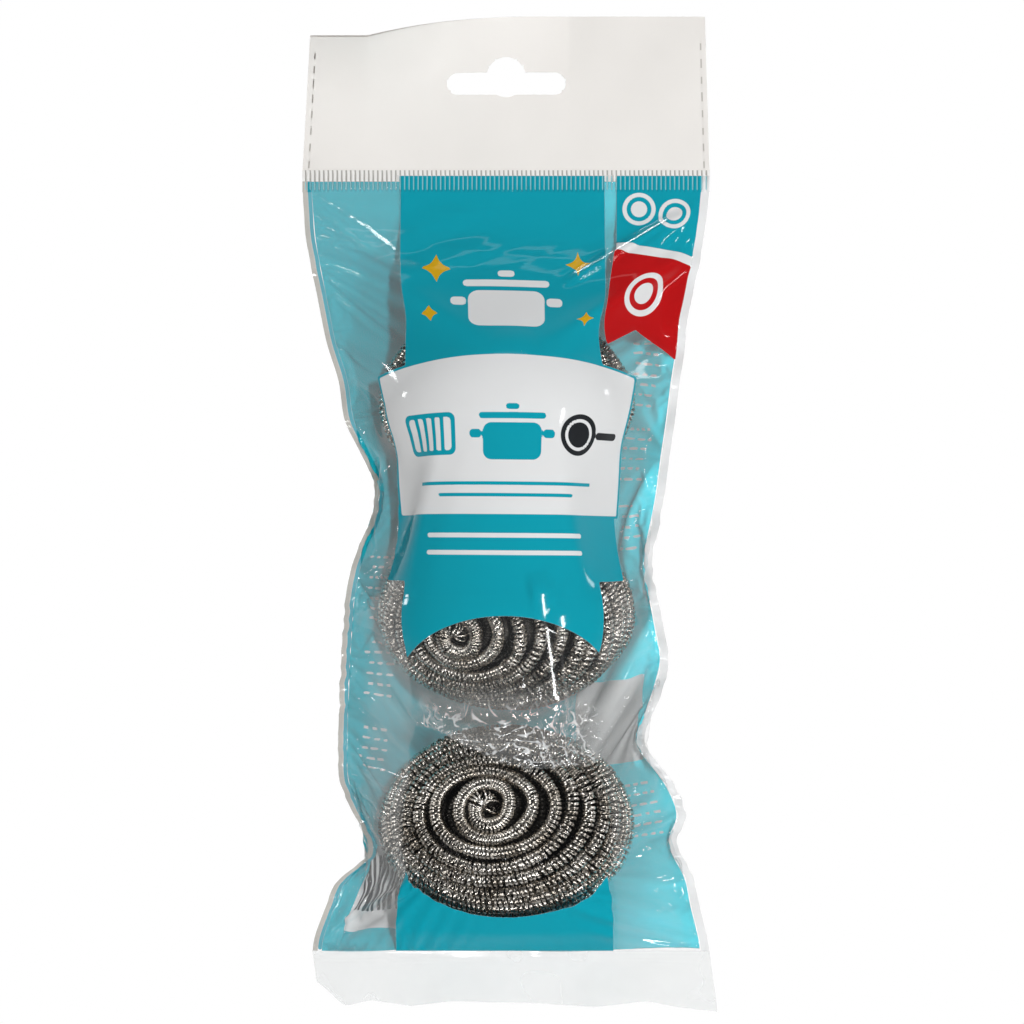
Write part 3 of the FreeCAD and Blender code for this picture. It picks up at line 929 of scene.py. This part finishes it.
# Below the ribbed weld the film stands in a few flat facets.
facet_height = np.zeros_like(flat_u)
for _ in range(facet_waves):
    heading = rng.uniform(-0.8, 0.8)
    run = flat_v * math.cos(heading) + flat_u * math.sin(heading)
    facet_height += facet_depth * np.abs((run / rng.uniform(9.0, 15.0) + rng.random()) % 1.0 - 0.5)
below_weld = eased((flat_v - 1.0) / 5.0) * eased((30.0 - flat_v) / 12.0)
front_grid = front_grid + outward * (below_weld * facet_height)[:, :, None]

# Long straight folds, where the film is pulled taut between two points: start and end on the flat
# film, half width, the radius that the crest is bent to, and how far the crest leans.
fold_steps = 41
fold_fade = 0.15
for fold_start, fold_end, fold_half, fold_bend, fold_lean in (
    ((8.8, 107.0), (15.2, 150.0), 4.2, 36.0, 0.0),
    ((13.3, 26.8), (48.0, 4.2), 2.2, 14.0, -0.4),
):
    run = np.array(fold_end) - fold_start
    along = ((flat_u - fold_start[0]) * run[0] + (flat_v - fold_start[1]) * run[1]) / (run @ run)
    beside = ((flat_u - fold_start[0]) * run[1] - (flat_v - fold_start[1]) * run[0]) / np.hypot(*run)
    line = []
    for step in np.linspace(0.0, 1.0, fold_steps):
        point_u, point_v = fold_start + step * run
        line.append((np.abs(front_v - point_v).argmin(), np.abs(front_u - point_u).argmin()))
    line_points = front_grid[tuple(np.array(line).T)]
    axis = line_points[-1] - line_points[0]
    half_way = line[fold_steps // 2]
    rise = outward[half_way]
    rise = rise - axis * (rise @ axis) / (axis @ axis)
    rise /= np.linalg.norm(rise)
    turned = np.cross(axis, rise) / np.linalg.norm(axis)
    rise = rise * math.cos(fold_lean) + turned * math.sin(fold_lean)
    sideways = np.cross(axis, rise) / np.linalg.norm(axis)
    sideways *= np.sign(sideways @ across_step[half_way]) * np.sign(run[1])
    lift = ((line_points - line_points[0]) @ rise).max() - beside ** 2 / (2 * fold_bend)
    taut = (line_points[0] + along[:, :, None] * axis + beside[:, :, None] * sideways
            + lift[:, :, None] * rise)
    strength = eased(2 - 2 * np.abs(beside) / fold_half)
    strength = strength * eased(along / fold_fade) * eased((1 - along) / fold_fade)
    front_grid = front_grid + strength[:, :, None] * (taut - front_grid)
front_grid = clear_of_scourers(front_grid)

fin_steps = np.linspace(0.0, weld_width, 5)[1:]
fin_ripple = 1.1 * np.sin(front_grid[:, 0, 2] / 2.3)
fin_ripple = fin_ripple * np.sin(math.pi * front_v / panel_length).clip(0) ** 0.5
fins = []
for edge_column, side in ((0, -1.0), (-1, 1.0)):
    rim = front_grid[:, edge_column]
    fin = [rim + np.stack([side * step * np.ones(len(rim)), fin_ripple * step / weld_width,
                           np.zeros(len(rim))], axis=1) for step in fin_steps]
    fins.append(np.stack(fin, axis=1))
front_sheet = np.concatenate([fins[0][:, ::-1], front_grid, fins[1]], axis=1)
sheet_u = np.concatenate([-panel_width / 2 - fin_steps[::-1], front_u, panel_width / 2 + fin_steps])
flat_u, flat_v = np.meshgrid(sheet_u, front_v)
inks = front_inks(flat_u, flat_v)
front_material = film_material("front_film", inks, None, crease_depth, crease_fineness, "front")
front_piece = mesh_piece("front_film_panel", front_sheet.reshape(-1, 3),
                         grid_faces(*front_sheet.shape[:2]), front_material)
lay_inks(front_piece, inks, "front")
fin_columns = ((0, 0), (len(fin_steps), len(fin_steps)))
cling = np.pad(in_band * below * eased((213.0 - front_v)[:, None] / 4.0), fin_columns)
milky = clear_veil + (window_veil - clear_veil) * np.pad(in_band, fin_columns)
milky += (loose_veil - milky) * np.pad(crumple, fin_columns)
left_side = eased((-28.8 - front_u) / 1.0) * eased((front_u + 48.0) / 8.0)
left_rows = eased((front_v - 95.0) / 15.0) * eased((212.0 - front_v) / 10.0)
milky += left_veil * np.pad(left_side * left_rows[:, None], fin_columns)
milky += right_veil * np.pad(eased(front_u - 29.0) * eased((49.0 - front_u) / 3.0), fin_columns[1])
# Painted shade: over the hollow between the two lower scourers the film is painted a fairly opaque dark
# grey.
hollow = np.exp(-((front_v - hollow_v) / hollow_half) ** 2)[:, None] * (1 - below)
hollow = hollow * eased((34.0 - np.abs(front_u)) / 14.0)
milky += (hollow_shade_cover - loose_veil) * np.pad(hollow, fin_columns)
lay_values(front_piece, "hollow", np.pad(hollow, fin_columns))
lay_values(front_piece, "crumpled", np.pad(crumple, fin_columns))
lay_values(front_piece, "front_veil", milky + (cling_veil - milky) * cling)
lay_values(front_piece, "cling", cling_share * cling)
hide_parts("front_film")
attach(front_piece, "bag")


# Back film
# The back panel is the same film, printed teal nearly all over on its inside, with a bare white box,
# a bar pattern and rows of fine white rules, and a paler teal towards the right as painted light. It
# is welded to the front panel down both sides.
def back_inks(u, v):
    """Each ink of the back print in the order that it is laid: its colour, cover and edge. The
    paler teal towards the right side is painted light.
    """
    ground_foot = print_foot + 0.6 * np.sin(u / 9.0)
    ground = np.maximum(box_edge(u, v, print_left, print_right, -2.8, 230.0), v - ground_foot)
    # Painted light: towards the right side the back print turns a paler teal.
    painted_light_side = 0.07 * np.clip((25.0 - u) / 20.0, -1, 1)
    white_box = box_edge(u, v, 21.0, 47.0, 138.0, 162.0, 1.0)
    bar_box = box_edge(u, v, -46.5, -27.0, 186.0, 211.0, 0.8)
    bars = []
    rng = np.random.default_rng(print_seed)
    bar_left = -45.0
    while bar_left < -30.0:
        thick = rng.choice([0.5, 0.8, 1.2])
        bars.append(box_edge(u, v, bar_left, bar_left + thick, 188.5, 205.0))
        bar_left += thick + rng.choice([0.6, 0.9])
    rules = []
    for side, first, last in ((1, 44.0, 62.0), (1, 68.0, 84.0), (1, 90.0, 104.0), (1, 168.0, 184.0),
                              (-1, 104.0, 122.0), (-1, 128.0, 144.0), (-1, 152.0, 166.0)):
        for down in np.arange(first, last, 2.9):
            start = 37.0 + rng.uniform(0.0, 0.6)
            while start < 45.5:
                reach = rng.uniform(1.4, 3.4)
                left, right = sorted((side * start, side * min(start + reach, 47.0)))
                rules.append(box_edge(u, v, left, right, down, down + 0.75, 0.3))
                start += reach + 0.9
    return [
        ("teal", back_teal, 0.90, ground),
        ("painted_light_teal", painted_light_teal, 0.90, np.maximum(ground, painted_light_side)),
        ("rules", white_ink, 0.88, joined(*rules)),
        ("white", white_ink, 0.95, joined(white_box, bar_box)),
        ("bars", dark_ink, 0.97, joined(*bars)),
    ]


back_columns = [0] + [tube_columns - k for k in range(1, panel_columns)] + [panel_columns]
back_grid = refined(film_points[:, back_columns])
inner = (slice(1, -1), slice(1, -1), 1)
back_grid[inner] = np.maximum(back_grid[inner], front_grid[inner] + panel_gap)
flat_u, flat_v = np.meshgrid(front_u, front_v)
inks = back_inks(flat_u, flat_v)
back_material = film_material("back_film", inks, clear_veil, crease_depth, crease_fineness, "back")
back_piece = mesh_piece("back_film_panel", back_grid.reshape(-1, 3),
                        grid_faces(*back_grid.shape[:2])[:, ::-1], back_material)
lay_inks(back_piece, inks, "back")
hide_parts("back_film")
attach(back_piece, "bag")


# Crimp seal
# Both panels and both header leaves run into this weld, which hot ribbed jaws press across the mouth
# of the bag. The ribs stand through all layers, white above and printed below. On the front the
# grooves are painted: grey as painted shade on the white, pale teal as painted highlight on the teal.
header_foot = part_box("header_front_leaf")[0][2] / MM
fold_line = (header_foot + crimp_box[1][2]) / 2
rib_pitch = 1.19
rib_shade = (0.42, 0.41, 0.385, 1.0)
rib_pale_highlight = (0.26, 0.55, 0.60, 1.0)
crimp_white = (0.86, 0.85, 0.83, 1.0)
groove_depth = 0.36
groove_half = 0.24
weld_half = 0.28
crimp_columns = 10 * round(flat_width / rib_pitch)
crimp_rows = 14
crimp_crease_depth = 0.05
crimp_fineness = 70.0
crimp_x = np.linspace(-flat_width / 2, flat_width / 2, crimp_columns + 1)
crimp_z = np.linspace(fold_line, bag_top, crimp_rows + 1)
flat_u, mesh_z = np.meshgrid(crimp_x, crimp_z)
flat_v = bag_top - mesh_z
down_share = (fold_line - mesh_z) / (fold_line - bag_top)
rib_fade = np.clip(4 * down_share, 0, 1) * np.clip(7 * (1 - down_share), 0, 1)
from_groove = (flat_u / rib_pitch % 1.0 - 0.5) * rib_pitch
ribs = groove_depth * np.exp(-(from_groove / groove_half) ** 2) * rib_fade
mouth = np.clip(1 - (2 * flat_u / panel_width) ** 2, 0, 1)
half_depth = weld_half + (mouth_rise * mouth - weld_half) * down_share ** 6
crimp_layers = []
for side in (-1.0, 1.0):
    crimp_layers.append(np.stack([flat_u, side * half_depth + ribs, mesh_z], axis=2).reshape(-1, 3))
quads = grid_faces(crimp_rows + 1, crimp_columns + 1)
layer_size = len(crimp_layers[0])
white_foot = np.where((flat_u < -29.0) | ((flat_u > 28.5) & (flat_u < 29.2)), -2.8, -4.3)
# Painted shade and painted highlight in the grooves: grey on the white part, pale teal below it.
grooves = np.abs(from_groove) - 0.2
shaded = ("rib_shade", rib_shade, 0.97, np.maximum(grooves, flat_v - white_foot))
groove_highlight_edge = np.maximum.reduce([grooves + 0.04, white_foot - flat_v, flat_v + 0.5])
crease_highlight = ("rib_pale_highlight", rib_pale_highlight, 0.9, groove_highlight_edge)
front_white = ("crimp_white", crimp_white, 0.97, flat_v - white_foot)
crimp_front_inks = front_inks(flat_u, flat_v) + [front_white, shaded, crease_highlight]
crimp_back_inks = back_inks(flat_u, flat_v) + [("crimp_white", crimp_white, 0.97, flat_v + 2.8)]
crimp_front, crimp_back = [
    film_material(name, inks, clear_veil, crimp_crease_depth, crimp_fineness, prefix)
    for name, inks, prefix in (("crimp_front", crimp_front_inks, "front"),
                               ("crimp_back", crimp_back_inks, "back"))]
crimp_piece = mesh_piece("crimp_weld", np.concatenate(crimp_layers),
                         np.concatenate([quads, quads[:, ::-1] + layer_size]), crimp_front)
crimp_piece.data.materials.append(crimp_back)
crimp_piece.data.polygons.foreach_set("material_index", np.repeat([0, 1], len(quads)).astype(np.int32))
for inks, prefix in ((crimp_front_inks, "front"), (crimp_back_inks, "back")):
    for ink, _, _, edge in inks:
        lay_values(crimp_piece, f"{prefix}_{ink}", np.concatenate([edge.ravel()] * 2))
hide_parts("top_crimp_seal")
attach(crimp_piece, "bag")


# Header
# Two leaves of opaque white film stand above the weld, with the hang slot punched through both and
# a row of short knife cuts down each side of the front one. The left side curls forward. Both leaves
# are painted dark where the cuts are, as painted shadow in and behind the cuts.
header_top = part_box("header_front_leaf")[1][2] / MM
header_tall = header_top - fold_line
slot_half = 16.0
slot_tall = 5.9
slot_drop = 1.7
lobe_radius = 5.3
curl_reach = (17.0, -38.0)
curl_turn = 1.02
narrow_left = 2.6
narrow_right = 1.2
cut_left = -52.2
cut_right = 52.4
cut_top = 9.4
cut_foot = -25.0
cut_pitch = 4.46
cut_long = 2.5
cut_half = 0.17
leaf_gap = 0.16
header_roughness = 0.38
header_crease_depth = 0.12
header_fineness = 38.0
header_white = (0.875, 0.848, 0.815, 1.0)
header_shade = (0.80, 0.775, 0.745, 1.0)
cut_shade = (0.34, 0.31, 0.27, 1.0)

leaf_x = np.linspace(-flat_width / 2, flat_width / 2, 181)
leaf_x = np.sort(np.concatenate([leaf_x, [cut_left - cut_half, cut_left + cut_half,
                                          cut_right - cut_half, cut_right + cut_half]]))
leaf_z = np.linspace(fold_line, header_top, 70)
flat_x, flat_z = np.meshgrid(leaf_x, leaf_z)


def slot_edge(x, z):
    bar = box_edge(x, z, -slot_half, slot_half, -slot_drop - slot_tall / 2, -slot_drop + slot_tall / 2,
                   slot_tall / 2)
    return joined(bar, disc_edge(x, z, 0.0, 0.0, lobe_radius))


for _ in range(3):
    near = slot_edge(flat_x, flat_z)
    slope_x = (slot_edge(flat_x + 0.01, flat_z) - near) / 0.01
    slope_z = (slot_edge(flat_x, flat_z + 0.01) - near) / 0.01
    pull = np.where(np.abs(near) < 0.36, near, 0.0)
    flat_x = flat_x - pull * slope_x
    flat_z = flat_z - pull * slope_z
leaf_quads = grid_faces(*flat_x.shape)
quad_x = flat_x.ravel()[leaf_quads].mean(axis=1)
quad_z = flat_z.ravel()[leaf_quads].mean(axis=1)


def cuts_edge(x, z):
    """The rows of knife cuts."""
    beside = np.minimum(np.abs(x - cut_left), np.abs(x - cut_right)) - cut_half
    down = np.abs((cut_top - z) % cut_pitch - cut_long / 2) - cut_long / 2
    return np.maximum.reduce([beside, down, z - cut_top, cut_foot - z])


punched = leaf_quads[slot_edge(quad_x, quad_z) > 0]
knife_cut = leaf_quads[(slot_edge(quad_x, quad_z) > 0) & (cuts_edge(quad_x, quad_z) > 0)]

up_share = (flat_z - fold_line) / header_tall
curl_share = np.clip((curl_reach[0] - flat_x) / (curl_reach[0] - curl_reach[1]), 0, 1)
leaf_wave = 0.35 * np.sin(flat_x / 9.0 + flat_z / 14.0) + 0.2 * np.sin(flat_x / 4.1 - flat_z / 6.0)
header_film = bpy.data.materials.new("header_film")
header_film.use_nodes = True
tree = header_film.node_tree
shader = tree.nodes["Principled BSDF"]
shader.inputs["Roughness"].default_value = header_roughness
creases = tree.nodes.new("ShaderNodeGroup")
creases.node_tree = film_creases
creases.inputs["Fineness"].default_value = header_fineness
tint = new_node(tree, "Mix", data_type="RGBA")
tint.inputs[6].default_value = header_white
tint.inputs[7].default_value = header_shade
tree.links.new(creases.outputs["Cloud"], tint.inputs["Factor"])
# Painted shadow: both leaves are painted dark grey where the knife cuts are.
cut_line = tree.nodes.new("ShaderNodeGroup")
cut_line.node_tree = ink_edge
cut_distance = new_node(tree, "Attribute", attribute_name="header_cuts")
tree.links.new(cut_distance.outputs["Fac"], cut_line.inputs["Distance"])
shaded = new_node(tree, "Mix", data_type="RGBA")
tree.links.new(cut_line.outputs["Mask"], shaded.inputs["Factor"])
tree.links.new(tint.outputs[2], shaded.inputs[6])
shaded.inputs[7].default_value = cut_shade
tree.links.new(shaded.outputs[2], shader.inputs["Base Color"])
bump = new_node(tree, "Bump")
bump.inputs["Distance"].default_value = header_crease_depth * MM
tree.links.new(creases.outputs["Height"], bump.inputs["Height"])
tree.links.new(bump.outputs["Normal"], shader.inputs["Normal"])

for leaf, side, curl_ease in (("front", -1.0, 1.0), ("back", 1.0, 0.96)):
    bend = np.maximum(curl_turn * curl_ease * curl_share * (1 - 0.18 * (1 - curl_share)), 1e-4)
    lift = header_tall * np.sin(bend * up_share) / bend
    forward = header_tall * (1 - np.cos(bend * up_share)) / bend
    squeeze = np.where(flat_x < 0, narrow_left, narrow_right)
    squeeze = squeeze * up_share * 2 * np.abs(flat_x) / flat_width
    x = flat_x - np.sign(flat_x) * squeeze
    y = side * leaf_gap - forward + leaf_wave * up_share * np.clip(up_share * 2, 0, 1)
    points = np.stack([x, y, fold_line + lift], axis=2).reshape(-1, 3)
    order = knife_cut[:, ::-1] if side < 0 else punched
    header_piece = mesh_piece(f"header_{leaf}_sheet", points, order, header_film)
    lay_values(header_piece, "header_cuts", cuts_edge(flat_x, flat_z))
    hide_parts(f"header_{leaf}_leaf")
    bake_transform(header_piece)


# Foot seal and skirt
# A plain weld closes the foot of the bag, and below it both panels run on as a loose clear skirt,
# trimmed by hand: its edge waves, and its left corner is cut off.
skirt_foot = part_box("skirt_front_leaf")[0][2] / MM
skirt_x = np.linspace(-flat_width / 2, flat_width / 2, 201)
skirt_rows = 32
share = np.linspace(0.0, 1.0, skirt_rows + 1)
skirt_shift = 2.1
skirt_veil = 0.32
skirt_crease_depth = 0.16
skirt_fineness = 60.0
leaf_half = 0.18
trim_line = [(-53.8, -238.8), (-47.0, -245.7), (-39.2, -244.1), (-27.8, -245.7), (-16.4, -244.3),
             (4.7, -244.9), (21.9, -245.9), (35.4, -244.3), (43.1, -246.0), (53.8, -247.2)]
trim_x, trim_z = np.array(trim_line).T
trim_z = np.pad(np.interp(skirt_x, trim_x, trim_z), 4, mode="edge")
trim_z = np.convolve(trim_z, soft_steps, mode="valid")
flat_u = np.repeat(skirt_x[None, :], skirt_rows + 1, axis=0)
mesh_z = bag_foot + (trim_z - bag_foot)[None, :] * share[:, None]
down = np.clip((bag_foot - mesh_z) / (bag_foot - skirt_foot), 0, 1.2)
mouth = np.clip(1 - (2 * flat_u / panel_width) ** 2, 0, 1)
seal_press = np.clip(1 - down * 8, 0, 1)
gathered = foot_gather * np.clip(-2 * flat_u / panel_width, 0, 1) ** 2
skirt_v = panel_length + bag_foot - mesh_z
for leaf, side, phase, leaf_inks, replaced in (
    ("front", -1.0, 0.0, front_inks, ["skirt_front_leaf", "bottom_seal"]),
    ("back", 1.0, 1.7, back_inks, ["skirt_back_leaf"]),
):
    flare = leaf_half + (mouth_rise - leaf_half) * mouth * seal_press
    flare = side * (flare + 0.9 * np.clip(down - 0.25, 0, 1))
    ripple = 1.1 * np.clip(down - 0.2, 0, 1) * np.sin(flat_u / 6.5 + phase + 0.4 * np.sin(flat_u / 3.1))
    seal_lines = 0.06 * np.sin((mesh_z - bag_foot) / 0.16) * (down < 0.2)
    x = flat_u + skirt_shift * np.clip(down, 0, 1) + gathered
    points = np.stack([x, flare + ripple + seal_lines, mesh_z], axis=2).reshape(-1, 3)
    faces = grid_faces(skirt_rows + 1, len(skirt_x))
    if side > 0:
        faces = faces[:, ::-1]
    skirt_inks = leaf_inks(flat_u, skirt_v)[:1]
    skirt_film = film_material(f"skirt_{leaf}_film", skirt_inks, skirt_veil, skirt_crease_depth,
                               skirt_fineness, "skirt")
    skirt_piece = mesh_piece(f"skirt_{leaf}_sheet", points, faces, skirt_film)
    lay_inks(skirt_piece, skirt_inks, "skirt")
    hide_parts(*replaced)
    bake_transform(skirt_piece)
